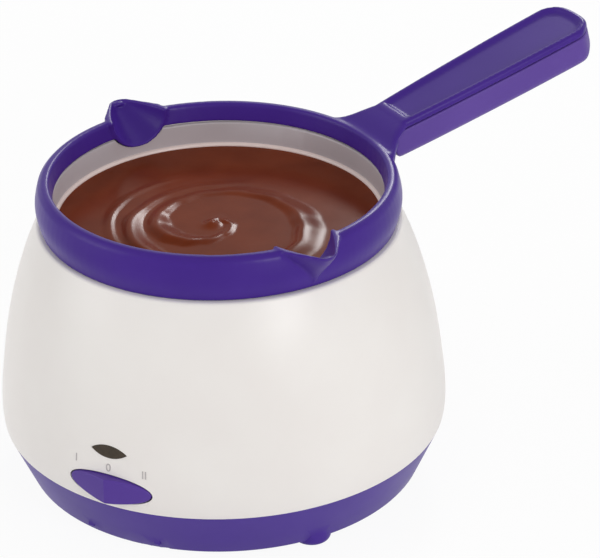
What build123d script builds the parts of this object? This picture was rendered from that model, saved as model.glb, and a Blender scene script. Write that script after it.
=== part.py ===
from build123d import *
from math import cos, radians, sin, sqrt, tan
import os

os.makedirs("parts", exist_ok=True)

# Heights are above the table, the pot's axis is Z, and the switch faces -Y.

# Base cover
foot_height = 3.0
base_height = 20.0
base_flare = 8.9
base_wall = 2.4
base_floor = 2.4
base_recess = 1.5
base_recess_band = 14.9
base_edge_round = 1.6
base_seam_chamfer = 0.45

# Housing outline, and how it joins the base
seam_radius = 83.8
belly_rise = 5.0
belly_swell = 0.5
housing_height = 79.5
shoulder_draw = 16.0
housing_shares = [(0.27, 0.044), (0.45, 0.169), (0.65, 0.381), (0.85, 0.688)]
housing_wall = 2.5
housing_top_round = 1.5
tongue_depth = 2.5
tongue_wall = 1.7
tongue_band = 3.0
tongue_setback = 1.5
joint_gap = 0.15

# Mouth of the housing, where the well hangs and the pot stands
rim_land = 4.8
ledge_depth = 4.2
ledge_width = 3.1
ledge_thickness = 2.5
ledge_round = 2.0

# Feet
foot_count = 3
foot_angle = -33.5
foot_inset = 4.9
foot_radius = 7.3
foot_rise = 0.8
foot_block = 7.2
foot_round = 2.4
pad_radius = 3.6
pad_gap = 0.1
pad_thickness = 1.8
pad_chamfer = 0.4

# Screw pillars of the housing and bosses of the base
pillar_count = 4
pillar_angle = 45.0
pillar_outset = 2.0
pillar_radius = 4.0
pillar_lift = 3.0
boss_radius = 5.2
screw_shank = 1.5
screw_head = 3.2
screw_head_height = 2.4
screw_head_chamfer = 0.5
screw_grip = 11.0
screw_end_gap = 1.5
pilot_gap = 0.05
shank_gap = 0.4
counterbore_depth = 11.0

# Vents in the floor
vent_count = 12
vent_length = 15.0
vent_width = 3.0

# Supply lead's bush at the back
bush_bore = 3.3
bush_neck = 4.6
bush_flange = 6.0
bush_flange_thickness = 1.2
bush_flange_round = 0.8

# Pan, well and seal
pan_gap = 0.6
pan_wall = 1.0
pan_step_width = 4.4
pan_taper = 1.2
heater_room = 25.6
pan_corner = 9.0
pan_flange_gap = 0.3
gasket_thickness = 0.5
gasket_setback = 0.1
well_gap = 0.6
well_wall = 0.8
well_flange_gap = 0.6
seal_thickness = 1.0
seal_setback = 0.4

# Chocolate
chocolate_rise = 0.8
chocolate_gap = 0.15

# Ring
ring_height = 17.1
ring_foot_inset = 1.8
ring_swell = 1.9
ring_shoulder_draw = 1.3
ring_shoulder_drop = 1.6
ring_shoulder_round = 1.5
ring_crest_round = 1.0
ring_roof = 7.1
ring_wall = 1.4
ring_skirt_gap = 0.3
ring_inside_lean = 1.4
clip_rise = 2.0
clip_bead = 0.35
clip_bead_height = 1.2
clip_bead_rise = 1.5
clip_gap = 0.1
clip_wall_gap = 0.4
clip_end_gap = 4.0

# Spouts, square to the handle
handle_angle = 60.0
spout_overhang = 13.2
spout_half_width = 12.0
beak_half_width = 12.0
beak_tip_round = 5.5
spout_keel_rise = 2.2
spout_lip = 1.5
spout_lip_rise = 0.2
spout_centre_rise = 0.4
lobe_depth = 6.0
lobe_rise = 4.3
lobe_flare = 0.8
lobe_draw = 0.6
lobe_gap = 0.4
channel_start = 9.0
channel_extra_depth = 0.3

# Handle
handle_rise = 14.0
handle_lift = 3.6
handle_length = 98.0
handle_thickness = 15.5
handle_cap = 3.0
handle_edge = 1.0
handle_groove = 0.3
handle_wall = 2.2
handle_root_width = 9.7
handle_tip_width = 13.5
handle_side_shares = [(0.286, 0.84), (0.469, 0.904), (0.653, 0.956), (0.816, 0.985)]
handle_tip_bow = 1.6
handle_tip_round = 7.5
handle_root = 3.6
handle_cap_start = 9.0
handle_web = 30.0
dish_margin = 2.0
dish_slope = 1.6
dish_depth = 1.5
dish_start = 12.0
flare_width = 22.0
flare_reach = 10.0
flare_depth = 6.0
flare_round = 2.6
handle_screw_shares = [0.245, 0.776]
handle_screw_shank = 1.25
handle_screw_head = 2.4
handle_screw_head_height = 1.6
handle_screw_gap = 0.3
handle_screw_end_gap = 0.4
handle_screw_seat = 0.8
handle_boss = 3.4
handle_boss_depth = 5.0
handle_boss_gap = 0.1

# Rocker switch
switch_rise = 7.8
rocker_half_width = 16.8
rocker_half_height = 5.1
rocker_ridge = 3.5
rocker_end_proud = 0.5
rocker_thickness = 2.7
rocker_hub = 3.0
rocker_round = 0.7
pivot_depth = 4.1
pivot_radius = 1.0
pivot_gap = 0.05
pivot_length = 1.3
window_gap_x = 0.6
window_gap_z = 0.5
window_depth = 8.0
switch_half_width = 21.0
switch_half_height = 7.0
switch_depth = 15.0
switch_side_gap = 1.2
switch_cheek_gap = 0.7
switch_cavity_depth = 7.5
switch_rib_place = 14.0
switch_rib_length = 9.0
switch_rib_setback = 10.0
terminal_pitch = 12.0
terminal_length = 7.0
terminal_width = 4.8
terminal_thickness = 0.8
terminal_eye = 0.9
terminal_eye_place = 4.6

# Indicator
lens_rise = 14.5
lens_length = 14.9
lens_width = 4.9
lens_gap = 0.1
lens_proud = 0.25
lens_flange = 1.6
lens_flange_thickness = 1.2
lamp_radius = 2.2
lamp_round = 0.9
lamp_length = 11.0
lamp_setback = 3.6
lamp_lead = 0.4
lamp_lead_end = 2.0
lamp_holder_wall = 1.2
lamp_holder_gap = 0.3
lamp_holder_width = 6.0
lamp_holder_rise = 3.0
lamp_holder_round = 1.8

# Heater stack under the well
bracket_rise = 2.5
stud_radius = 2.5
stud_end = 1.0
stud_chamfer = 0.5
element_margin = 9.8
element_bore = 9.0
element_thickness = 3.4
element_tag_length = 11.0
element_tag_width = 6.3
element_tag_reach = 4.0
element_tag_angle = 20.0
element_chamfer = 0.5
clamp_margin = 2.0
clamp_thickness = 1.2
nut_width = 8.0
nut_height = 3.8
thread_gap = 0.05
shield_margin = 1.8
shield_thickness = 0.6
shield_rim = 3.5
shield_lean = 1.5
bracket_width = 15.0
bracket_thickness = 1.5
bracket_hub = 17.0
bracket_end = 6.0
spade_length = 8.0
spade_width = 5.0
spade_thickness = 0.8
thermostat_radius = 8.0
thermostat_height = 6.0
thermostat_chamfer = 0.6
thermostat_ear = 12.0
thermostat_flange = 7.0
thermostat_flange_thickness = 0.7
fuse_radius = 2.2
fuse_length = 12.0
fuse_lead = 0.5
fuse_lead_length = 4.0
fuse_ear = 7.5
fuse_clip_width = 5.0
fuse_clip_thickness = 0.8
fuse_clip_end = 3.0
clamp_screw = 1.3
clamp_screw_gap = 0.15
clamp_screw_head = 2.3
clamp_screw_head_height = 1.5

# Terminal block
block_length = 26.0
block_width = 14.0
block_height = 11.0
block_round = 1.0
block_inset = 6.0
block_wire_hole = 2.0
block_screw = 1.7
block_screw_well = 2.5
block_screw_spread = 4.0
block_screw_shank = 1.2
block_screw_shank_length = 2.2
block_screw_head_height = 1.6
block_screw_slot = 0.5
block_screw_sink = 0.8

# Inner leads
lead_radius = 1.1

# Heights worked out from the sizes above
seam_height = foot_height + base_height
rim_height = seam_height + housing_height
belly_height = seam_height + belly_rise
floor_top = foot_height + base_recess + base_floor
pillar_foot = seam_height + pillar_lift
bush_height = foot_height + 0.6 * base_height
ledge_top = rim_height - ledge_depth
ledge_under = ledge_top - ledge_thickness
flange_top = ledge_top + seal_thickness + well_wall
pan_floor_height = seam_height + heater_room
pan_step_height = flange_top + well_gap + pan_wall
chocolate_level = pan_step_height + chocolate_rise
well_floor_height = pan_floor_height - pan_wall - well_gap
well_underside = well_floor_height - well_wall
element_under = well_underside - element_thickness
clamp_under = element_under - clamp_thickness
shield_under = pillar_foot + bracket_rise
stud_foot = shield_under - bracket_thickness - nut_height - stud_end
ring_crest_height = rim_height + ring_height
ring_bulge_height = rim_height + 0.5 * ring_height
ring_shoulder_height = ring_crest_height - ring_shoulder_drop
ring_ceiling = ring_crest_height - ring_roof
pan_flange_top = ring_ceiling - gasket_thickness
clip_bottom = rim_height + clip_rise
clip_groove_low = clip_bottom + clip_bead_rise - clip_gap
clip_groove_high = clip_bottom + clip_bead_rise + clip_bead_height + clip_gap
spout_keel_height = rim_height + spout_keel_rise
spout_lip_height = ring_crest_height + spout_lip_rise
spout_centre = ring_crest_height + spout_centre_rise
lobe_bottom = rim_height + lobe_rise
lobe_height = spout_centre - lobe_bottom
channel_depth = lobe_height + channel_extra_depth
handle_plane_height = ring_crest_height + handle_lift
switch_height = seam_height + switch_rise
lens_height = switch_height + lens_rise

# Reaches from the pot's axis
base_edge_radius = seam_radius - base_flare
base_recess_radius = base_edge_radius - base_recess_band
vent_ring_radius = 2 / 3 * base_recess_radius
foot_ring_radius = base_edge_radius - foot_inset
shoulder_radius = seam_radius - shoulder_draw
mouth_radius = shoulder_radius - rim_land
ledge_bore = mouth_radius - ledge_width
pillar_ring_radius = mouth_radius + pillar_outset
pan_bore = mouth_radius - pan_gap - pan_wall
pan_outside = pan_bore + pan_wall
pan_step_radius = pan_bore - pan_step_width
pan_bottom_radius = pan_step_radius - pan_taper
well_step_radius = pan_step_radius + pan_wall + well_gap
well_bottom_radius = pan_bottom_radius + pan_wall + well_gap
well_flange_radius = mouth_radius - well_flange_gap
seal_bore = ledge_bore + seal_setback
ring_foot_radius = shoulder_radius - ring_foot_inset
ring_bulge_radius = ring_foot_radius + ring_swell
ring_shoulder_radius = ring_bulge_radius - ring_shoulder_draw
ring_crest_outer = ring_shoulder_radius - ring_shoulder_drop
ring_skirt_radius = pan_bore - ring_skirt_gap
ring_crest_inner = ring_skirt_radius + ring_inside_lean
ring_cavity_radius = ring_foot_radius - ring_wall
pan_flange_radius = ring_cavity_radius - pan_flange_gap
spout_reach = ring_foot_radius + spout_overhang
lobe_inner = ring_foot_radius - lobe_depth
channel_inner = ring_foot_radius - channel_start
element_radius = pan_bottom_radius - element_margin
clamp_radius = element_radius - clamp_margin
shield_radius = pan_bottom_radius - shield_margin
thermostat_place = 0.59 * clamp_radius
fuse_place = 0.545 * clamp_radius
block_place = base_recess_radius - block_inset

# Outlines and spots
housing_outline = [
    (seam_radius, seam_height),
    (seam_radius + belly_swell, belly_height),
    *[
        (seam_radius - drawn * shoulder_draw, seam_height + up * housing_height)
        for up, drawn in housing_shares
    ],
    (shoulder_radius, rim_height),
]
shoulder_lean = 2.1 * shoulder_draw / housing_height
spout_angles = [handle_angle - 90, handle_angle + 90]
handle_half_widths = [(along * handle_length, wide * handle_tip_width) for along, wide in handle_side_shares]
handle_under_round = 0.6 * handle_tip_round
handle_screw_places = [share * handle_length for share in handle_screw_shares]
clamp_screw_spots = [
    (-thermostat_place, thermostat_ear),
    (-thermostat_place, -thermostat_ear),
    (fuse_place + fuse_ear, 0),
]
block_screw_spots = [
    (side * block_length / 4, block_place + end * block_screw_spread)
    for side in (-1, 1)
    for end in (-1, 1)
]
tilt = radians(handle_rise)


def turned(plane, angle):
    """A plane carried round the pot's axis by an angle."""
    return Plane(Location((0, 0, 0), (0, 0, angle)) * plane.location)


def facing_out(reach, height, angle):
    """An upright plane that faces away from the pot's axis, at a reach and a height."""
    return turned(Plane(origin=(reach, 0, height), x_dir=(0, 1, 0), z_dir=(1, 0, 0)), angle)


handle_plane = turned(
    Plane(
        origin=(ring_foot_radius, 0, handle_plane_height),
        x_dir=(cos(tilt), 0, sin(tilt)),
        z_dir=(-sin(tilt), 0, cos(tilt)),
    ),
    handle_angle,
)


def radius_at(height):
    """Outer radius of the housing at a height, straight between the outline's points."""
    for (low_r, low_z), (high_r, high_z) in zip(housing_outline, housing_outline[1:]):
        if height <= high_z:
            break
    return low_r + (high_r - low_r) * (height - low_z) / (high_z - low_z)


def base_radius_at(height):
    """Outer radius of the base's sloping wall at a height."""
    share = (height - foot_height) / (seam_height - foot_height)
    return base_edge_radius + (seam_radius - base_edge_radius) * share


def corners(shapes, *points):
    """The vertices nearest to the given points of a sketch."""
    return [shapes.sort_by_distance(Vector(*point))[0] for point in points]


def handle_outline(margin, start):
    """Plan of the handle from a start to its tip, drawn in all round by a margin."""
    (first_along, first_width), *_ = handle_half_widths
    start_share = (start - handle_root) / (first_along - handle_root)
    start_width = handle_root_width + (first_width - handle_root_width) * start_share
    sides = [(along, width - margin) for along, width in handle_half_widths]
    end = (handle_length - handle_tip_bow - margin, handle_tip_width - margin)
    upper_points = [(start, start_width - margin), *sides, end]
    lower_points = [(along, -width) for along, width in upper_points]
    with BuildSketch() as outline:
        with BuildLine():
            Spline(*upper_points)
            ThreePointArc(end, (handle_length - margin, 0), lower_points[-1])
            Spline(*lower_points)
            Line(upper_points[0], lower_points[0])
        make_face()
        fillet(corners(outline.vertices(), end, lower_points[-1]), handle_tip_round - margin)
    return outline.sketch_local


def bends(route):
    """Radii for the corners of a route, each as large as its two runs allow."""
    points = [Vector(*point) for point in route]
    radii = []
    for before, corner, after in zip(points, points[1:], points[2:]):
        half_turn = radians((corner - before).get_angle(after - corner) / 2)
        radii.append(0.45 * min((corner - before).length, (after - corner).length) / tan(half_turn))
    return radii


def finish(builder, label):
    """Name a piece and write its file."""
    builder.part.label = label
    export_step(builder.part, f"parts/{label}.step")


# Sections of the beaks, the channels and the handle's root
beak_rise = spout_lip_height - spout_keel_height
beak_shares = [(0, 0.09, 0.11), (0.5, 0.54, 0.55), (0.88, 0.92, 0.92), (1, 1, 1)]
beak_sections = [
    (spout_keel_height + up * beak_rise, out * spout_overhang, wide * beak_half_width, wide * beak_tip_round)
    for up, out, wide in beak_shares
]
channel_run = spout_reach - spout_lip - channel_inner
channel_shares = [(0, 1, 1), (0.44, 0.74, 0.7), (0.79, 0.4, 0.38), (1, 0.17, 0.12)]
channel_sections = [
    (channel_inner + out * channel_run, wide * spout_half_width, deep * channel_depth)
    for out, wide, deep in channel_shares
]
flare_shares = [(-0.45, 1, -0.1), (0, 0.83, 0.17), (0.3, 0.68, 0.62), (0.6, 0.58, 0.86), (1, 0.47, 0.98)]
flare_sections = []
for out, wide, up in flare_shares:
    flare_top = ring_crest_height + up * (handle_lift + out * flare_reach * tan(tilt))
    flare_sections.append((ring_foot_radius + out * flare_reach, wide * flare_width, flare_top))

# Rocker and switch, set from the housing's surface
surface_at_switch = radius_at(switch_height)
pivot_place = surface_at_switch - pivot_depth
rocker_ridge_depth = surface_at_switch + rocker_ridge
rocker_end_depth = sqrt(surface_at_switch**2 - rocker_half_width**2) + rocker_end_proud
switch_face_radius = radius_at(switch_height + switch_half_height) - housing_wall - joint_gap

# Lens, a pointed oval between two arcs
lens_lean = (radius_at(lens_height - lens_width) - radius_at(lens_height + lens_width)) / (2 * lens_width)
lens_face = radius_at(lens_height) + lens_proud
lens_arc = (lens_length**2 + lens_width**2) / (4 * lens_width)
lens_inside = radius_at(lens_height + lens_width / 2 + lens_flange) - housing_wall
lens_back = sqrt(lens_inside**2 - (lens_length / 2 + lens_flange) ** 2) - joint_gap

# Housing shell: one revolved wall with its mouth, ledge and tongue
tongue_outer = base_radius_at(seam_height - tongue_depth) - tongue_setback
tongue_inner = tongue_outer - tongue_wall
under_ledge_radius = radius_at(ledge_under) - housing_wall

with BuildPart() as housing_shell:
    with BuildSketch(Plane.XZ) as housing_section:
        with BuildLine():
            Spline(*housing_outline, tangents=[(0.25, 1), (-shoulder_lean, 1)])
            Polyline(
                (shoulder_radius, rim_height),
                (mouth_radius, rim_height),
                (mouth_radius, ledge_top),
                (ledge_bore, ledge_top),
                (ledge_bore, ledge_under),
                (under_ledge_radius, ledge_under),
            )
            inner_outline = [(r - housing_wall, z) for r, z in housing_outline[1:-1]]
            Spline(*inner_outline, (under_ledge_radius, ledge_under))
            Polyline(
                inner_outline[0],
                (tongue_inner, seam_height + tongue_band),
                (tongue_inner, seam_height - tongue_depth),
                (tongue_outer, seam_height - tongue_depth),
                (tongue_outer, seam_height),
                (seam_radius, seam_height),
            )
        make_face()
        fillet(corners(housing_section.vertices(), (shoulder_radius, rim_height)), housing_top_round)
        fillet(corners(housing_section.vertices(), (under_ledge_radius, ledge_under)), ledge_round)
    revolve(axis=Axis.Z)
    with BuildSketch(Plane.XY.offset(pillar_foot)):
        with PolarLocations(pillar_ring_radius, pillar_count, start_angle=pillar_angle):
            Circle(pillar_radius)
    extrude(amount=ledge_under - pillar_foot + ledge_thickness / 4)
    with BuildSketch(Plane.XY.offset(pillar_foot)):
        with PolarLocations(pillar_ring_radius, pillar_count, start_angle=pillar_angle):
            Circle(screw_shank + pilot_gap)
    extrude(amount=screw_grip + screw_end_gap, mode=Mode.SUBTRACT)
    with BuildSketch(Plane.XZ.offset(tongue_inner - window_depth)):
        with Locations((0, switch_height)):
            Ellipse(rocker_half_width + window_gap_x, rocker_half_height + window_gap_z)
    extrude(amount=3 * window_depth, mode=Mode.SUBTRACT)
    with BuildSketch(Plane.XY.offset(seam_height - tongue_depth)):
        Circle(seam_radius - housing_wall + 2 * joint_gap)
        with Locations((0, -seam_radius)):
            Rectangle(2 * (switch_half_width + switch_side_gap), seam_radius / 2, mode=Mode.INTERSECT)
    extrude(amount=tongue_depth + belly_rise, mode=Mode.SUBTRACT)
    with BuildSketch(Plane.XZ.offset(radius_at(lens_height) - window_depth)):
        with Locations((0, lens_height + lens_arc - lens_width / 2)):
            Circle(lens_arc)
        with Locations((0, lens_height - lens_arc + lens_width / 2)):
            Circle(lens_arc, mode=Mode.INTERSECT)
    extrude(amount=3 * window_depth, mode=Mode.SUBTRACT)
finish(housing_shell, "housing_shell")

# Base cover: sloping wall, recessed floor, feet, bosses, vents and the bush's hole
rebate_radius = tongue_outer + joint_gap
rebate_height = seam_height - tongue_depth - joint_gap
rebate_inner = base_radius_at(rebate_height) - base_wall
with BuildPart() as base_cover:
    with BuildSketch(Plane.XZ) as base_section:
        with BuildLine():
            Polyline(
                (0, foot_height + base_recess),
                (base_recess_radius, foot_height + base_recess),
                (base_recess_radius + base_recess, foot_height),
                (base_edge_radius, foot_height),
                (seam_radius, seam_height),
                (rebate_radius, seam_height),
                (rebate_radius, rebate_height),
                (rebate_inner, rebate_height),
                (base_radius_at(floor_top) - base_wall, floor_top),
                (0, floor_top),
                close=True,
            )
        make_face()
        fillet(corners(base_section.vertices(), (base_edge_radius, foot_height)), base_edge_round)
        chamfer(corners(base_section.vertices(), (seam_radius, seam_height)), base_seam_chamfer)
    revolve(axis=Axis.Z)
    with BuildSketch(Plane.XY.offset(foot_rise)):
        with PolarLocations(foot_ring_radius, foot_count, start_angle=foot_angle):
            Circle(foot_radius)
    extrude(amount=foot_block, taper=4)
    foot_edges = base_cover.edges().filter_by(GeomType.CIRCLE).group_by(Axis.Z)[0]
    fillet(foot_edges, foot_round)
    with BuildSketch(Plane.XY.offset(foot_rise)):
        with PolarLocations(foot_ring_radius, foot_count, start_angle=foot_angle):
            Circle(pad_radius + pad_gap)
    extrude(amount=pad_thickness - foot_rise, mode=Mode.SUBTRACT)
    with BuildSketch(Plane.XY.offset(foot_height + base_recess)):
        with PolarLocations(pillar_ring_radius, pillar_count, start_angle=pillar_angle):
            Circle(boss_radius)
    extrude(amount=pillar_foot - bracket_thickness - foot_height - base_recess)
    with BuildSketch(Plane.XY.offset(foot_height + base_recess)):
        with PolarLocations(pillar_ring_radius, 2, start_angle=pillar_angle + 90):
            Circle(boss_radius)
    extrude(amount=pillar_foot - foot_height - base_recess)
    with BuildSketch(Plane.XY.offset(floor_top - base_floor / 2)):
        rib_reach = switch_face_radius - switch_rib_setback
        with Locations((-switch_rib_place, -rib_reach), (switch_rib_place, -rib_reach)):
            Rectangle(base_wall, switch_rib_length)
    extrude(amount=switch_height - switch_half_height - floor_top + base_floor / 2)
    with BuildSketch(Plane.XY.offset(foot_height)):
        with PolarLocations(pillar_ring_radius, pillar_count, start_angle=pillar_angle):
            Circle(screw_head + shank_gap)
    extrude(amount=counterbore_depth, mode=Mode.SUBTRACT)
    with BuildSketch(Plane.XY.offset(foot_height)):
        with PolarLocations(pillar_ring_radius, pillar_count, start_angle=pillar_angle):
            Circle(screw_shank + shank_gap)
    extrude(amount=seam_height, mode=Mode.SUBTRACT)
    with BuildSketch(Plane.XY.offset(foot_height)):
        with PolarLocations(vent_ring_radius, vent_count, start_angle=180 / vent_count):
            SlotOverall(vent_length, vent_width)
    extrude(amount=2 * (base_recess + base_floor), mode=Mode.SUBTRACT)
    with BuildSketch(Plane.XZ.offset(-seam_radius)):
        with Locations((0, bush_height)):
            Circle(bush_neck + joint_gap)
    extrude(amount=3 * base_flare / 2, mode=Mode.SUBTRACT)
finish(base_cover, "base_cover")

with BuildPart() as foot_pads:
    with BuildSketch():
        with PolarLocations(foot_ring_radius, foot_count, start_angle=foot_angle):
            Circle(pad_radius)
    extrude(amount=pad_thickness)
    chamfer(foot_pads.edges().group_by(Axis.Z)[0], pad_chamfer)
finish(foot_pads, "foot_pads")

# Bush in the back of the base
bush_wall_outside = base_radius_at(bush_height + bush_flange) + joint_gap
bush_wall_inside = base_radius_at(bush_height - bush_flange) - base_wall - joint_gap
with BuildPart() as cord_bush:
    with BuildSketch(Plane.XZ.offset(-bush_wall_outside - bush_flange_thickness)):
        with Locations((0, bush_height)):
            Circle(bush_flange)
    extrude(amount=bush_flange_thickness)
    fillet(cord_bush.edges().sort_by(Axis.Y)[-1], bush_flange_round)
    with BuildSketch(Plane.XZ.offset(-bush_wall_outside)):
        with Locations((0, bush_height)):
            Circle(bush_neck)
    extrude(amount=bush_wall_outside - bush_wall_inside)
    with BuildSketch(Plane.XZ.offset(-bush_wall_inside)):
        with Locations((0, bush_height)):
            Circle(bush_flange)
    extrude(amount=bush_flange_thickness)
    with BuildSketch(Plane.XZ.offset(-bush_wall_outside - 2 * bush_flange_thickness)):
        with Locations((0, bush_height)):
            Circle(bush_bore)
    extrude(amount=seam_radius / 2, mode=Mode.SUBTRACT)
finish(cord_bush, "cord_bush")

# Well: a pressed cup with a turned-out flange, and its seal
with BuildPart() as heat_well:
    with BuildSketch(Plane.XZ) as well_section:
        with BuildLine():
            Polyline(
                (0, well_floor_height),
                (well_bottom_radius, well_floor_height),
                (well_step_radius, flange_top),
                (well_flange_radius, flange_top),
                (well_flange_radius, flange_top - well_wall),
                (well_step_radius + well_wall, flange_top - well_wall),
                (well_bottom_radius + well_wall, well_underside),
                (0, well_underside),
                close=True,
            )
        make_face()
        inner_corner = (well_bottom_radius, well_floor_height)
        outer_corner = (well_bottom_radius + well_wall, well_underside)
        lip_corner = (well_step_radius, flange_top)
        fillet(corners(well_section.vertices(), inner_corner), pan_corner + pan_wall)
        fillet(corners(well_section.vertices(), outer_corner), pan_corner + pan_wall + well_wall)
        fillet(corners(well_section.vertices(), lip_corner), well_wall)
    revolve(axis=Axis.Z)
finish(heat_well, "heat_well")

with BuildPart() as well_seal:
    with BuildSketch(Plane.XY.offset(ledge_top)):
        Circle(well_flange_radius)
        Circle(seal_bore, mode=Mode.SUBTRACT)
    extrude(amount=seal_thickness)
finish(well_seal, "well_seal")

# Stud, heater, clamp plate and nuts under the well
with BuildPart() as centre_stud:
    with BuildSketch(Plane.XY.offset(stud_foot)):
        Circle(stud_radius)
    extrude(amount=well_underside - stud_foot)
    chamfer(centre_stud.edges().group_by(Axis.Z)[0], stud_chamfer)
finish(centre_stud, "centre_stud")

with BuildPart() as heating_element:
    with BuildSketch(Plane.XY.offset(element_under)):
        Circle(element_radius)
        Circle(element_bore, mode=Mode.SUBTRACT)
    extrude(amount=element_thickness)
    with BuildSketch(Plane.XY.offset(element_under + spade_thickness)):
        for tag_angle in (-90 - element_tag_angle, -90 + element_tag_angle):
            with PolarLocations(element_radius + element_tag_reach, 1, start_angle=tag_angle):
                Rectangle(element_tag_length, element_tag_width)
    extrude(amount=spade_thickness)
    chamfer(heating_element.faces().sort_by(Axis.Z)[-1].outer_wire().edges(), element_chamfer)
finish(heating_element, "heating_element")

with BuildPart() as element_clamp_plate:
    with BuildSketch(Plane.XY.offset(clamp_under)):
        Circle(clamp_radius)
        Circle(stud_radius + shank_gap, mode=Mode.SUBTRACT)
        with Locations(*clamp_screw_spots):
            Circle(clamp_screw + thread_gap, mode=Mode.SUBTRACT)
    extrude(amount=clamp_thickness)
finish(element_clamp_plate, "element_clamp_plate")

nut_tops = [clamp_under, shield_under - bracket_thickness]
with BuildPart() as stud_nuts:
    for nut_top in nut_tops:
        with BuildSketch(Plane.XY.offset(nut_top - nut_height)):
            RegularPolygon(nut_width / 2, 6, major_radius=False)
            Circle(stud_radius + thread_gap, mode=Mode.SUBTRACT)
        extrude(amount=nut_height)
finish(stud_nuts, "stud_nuts")

with BuildPart() as thermostat:
    with BuildSketch(Plane.XY.offset(clamp_under - thermostat_height)):
        with Locations((-thermostat_place, 0)):
            Circle(thermostat_radius)
    extrude(amount=thermostat_height)
    chamfer(thermostat.edges().group_by(Axis.Z)[0], thermostat_chamfer)
    with BuildSketch(Plane.XY.offset(clamp_under - thermostat_flange_thickness)):
        with Locations((-thermostat_place, 0)):
            SlotOverall(2 * thermostat_ear + 1.1 * thermostat_flange, thermostat_flange, rotation=90)
        with Locations(*clamp_screw_spots[:2]):
            Circle(clamp_screw + clamp_screw_gap, mode=Mode.SUBTRACT)
    extrude(amount=thermostat_flange_thickness)
    with BuildSketch(Plane.XY.offset(clamp_under - thermostat_height + spade_thickness)):
        with Locations(*[(side * thermostat_radius - thermostat_place, 0) for side in (-1, 1)]):
            Rectangle(spade_length, spade_width)
    extrude(amount=spade_thickness)
finish(thermostat, "thermostat")

fuse_height = clamp_under - fuse_radius - fuse_clip_thickness
with BuildPart() as thermal_fuse:
    with BuildSketch(Plane.XZ.offset(-fuse_length / 2)):
        with Locations((fuse_place, fuse_height)):
            Circle(fuse_radius)
    extrude(amount=fuse_length)
    with BuildSketch(Plane.XZ.offset(-fuse_length / 2 - fuse_lead_length)):
        with Locations((fuse_place, fuse_height)):
            Circle(fuse_lead)
    extrude(amount=fuse_length + 2 * fuse_lead_length)
finish(thermal_fuse, "thermal_fuse")

with BuildPart() as fuse_clip:
    with BuildSketch(Plane.XZ.offset(-fuse_clip_width / 2)):
        with Locations((fuse_place + (fuse_ear + fuse_clip_end) / 2, clamp_under - fuse_clip_thickness / 2)):
            Rectangle(fuse_ear + fuse_clip_end, fuse_clip_thickness)
        with Locations((fuse_place, fuse_height)):
            Circle(fuse_radius + pilot_gap + fuse_clip_thickness)
            Circle(fuse_radius + pilot_gap, mode=Mode.SUBTRACT)
        with Locations((fuse_place, clamp_under + fuse_radius)):
            Rectangle(4 * fuse_ear, 2 * fuse_radius, mode=Mode.SUBTRACT)
    extrude(amount=fuse_clip_width)
    with BuildSketch(Plane.XY.offset(clamp_under - 2 * fuse_clip_thickness)):
        with Locations(clamp_screw_spots[2]):
            Circle(clamp_screw + clamp_screw_gap)
    extrude(amount=3 * fuse_clip_thickness, mode=Mode.SUBTRACT)
finish(fuse_clip, "fuse_clip")

with BuildPart() as clamp_screws:
    grips = [thermostat_flange_thickness, thermostat_flange_thickness, fuse_clip_thickness]
    for spot, grip in zip(clamp_screw_spots, grips):
        with BuildSketch(Plane.XY.offset(clamp_under - grip)):
            with Locations(spot):
                Circle(clamp_screw)
        extrude(amount=grip + clamp_thickness - clamp_screw_gap)
        with BuildSketch(Plane.XY.offset(clamp_under - grip)):
            with Locations(spot):
                Circle(clamp_screw_head)
        extrude(amount=-clamp_screw_head_height)
finish(clamp_screws, "clamp_screws")

# Shield and bracket
with BuildPart() as heat_shield:
    with BuildSketch(Plane.XZ) as shield_section:
        with BuildLine():
            Polyline(
                (stud_radius + shank_gap, shield_under),
                (shield_radius, shield_under),
                (shield_radius + shield_lean, shield_under + shield_rim),
                (shield_radius + shield_lean - shield_thickness, shield_under + shield_rim),
                (shield_radius - shield_thickness, shield_under + shield_thickness),
                (stud_radius + shank_gap, shield_under + shield_thickness),
                close=True,
            )
        make_face()
    revolve(axis=Axis.Z)
finish(heat_shield, "heat_shield")

ear_top = pillar_foot
hub_top = shield_under
ear_start = pillar_ring_radius - bracket_width / 2 - bracket_thickness / 2
with BuildPart() as support_bracket:
    with BuildSketch(turned(Plane.XZ.offset(-bracket_width / 2), pillar_angle)):
        with BuildLine():
            Polyline(
                (-pillar_ring_radius - bracket_end, ear_top),
                (-ear_start, ear_top),
                (-bracket_hub, hub_top),
                (bracket_hub, hub_top),
                (ear_start, ear_top),
                (pillar_ring_radius + bracket_end, ear_top),
                (pillar_ring_radius + bracket_end, ear_top - bracket_thickness),
                (ear_start, ear_top - bracket_thickness),
                (bracket_hub, hub_top - bracket_thickness),
                (-bracket_hub, hub_top - bracket_thickness),
                (-ear_start, ear_top - bracket_thickness),
                (-pillar_ring_radius - bracket_end, ear_top - bracket_thickness),
                close=True,
            )
        make_face()
    extrude(amount=bracket_width)
    with BuildSketch(Plane.XY.offset(ear_top - 2 * bracket_thickness)):
        with PolarLocations(pillar_ring_radius, 2, start_angle=pillar_angle):
            Circle(screw_shank + shank_gap)
        Circle(stud_radius + shank_gap)
    extrude(amount=hub_top, mode=Mode.SUBTRACT)
finish(support_bracket, "support_bracket")

# Pan: a drawn cup with a step at the fill line and a turned-out flange
with BuildPart() as spout_lobe:
    for angle in spout_angles:
        with BuildSketch(facing_out(lobe_inner, spout_centre, angle)):
            Ellipse(spout_half_width + lobe_flare, lobe_height)
        with BuildSketch(facing_out(ring_foot_radius, spout_centre, angle)):
            Ellipse(spout_half_width, lobe_height - lobe_draw)
        loft()
    with BuildSketch(Plane.XY.offset(spout_lip_height)):
        Circle(2 * ring_bulge_radius)
    extrude(amount=3 * spout_half_width, mode=Mode.SUBTRACT)

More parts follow.
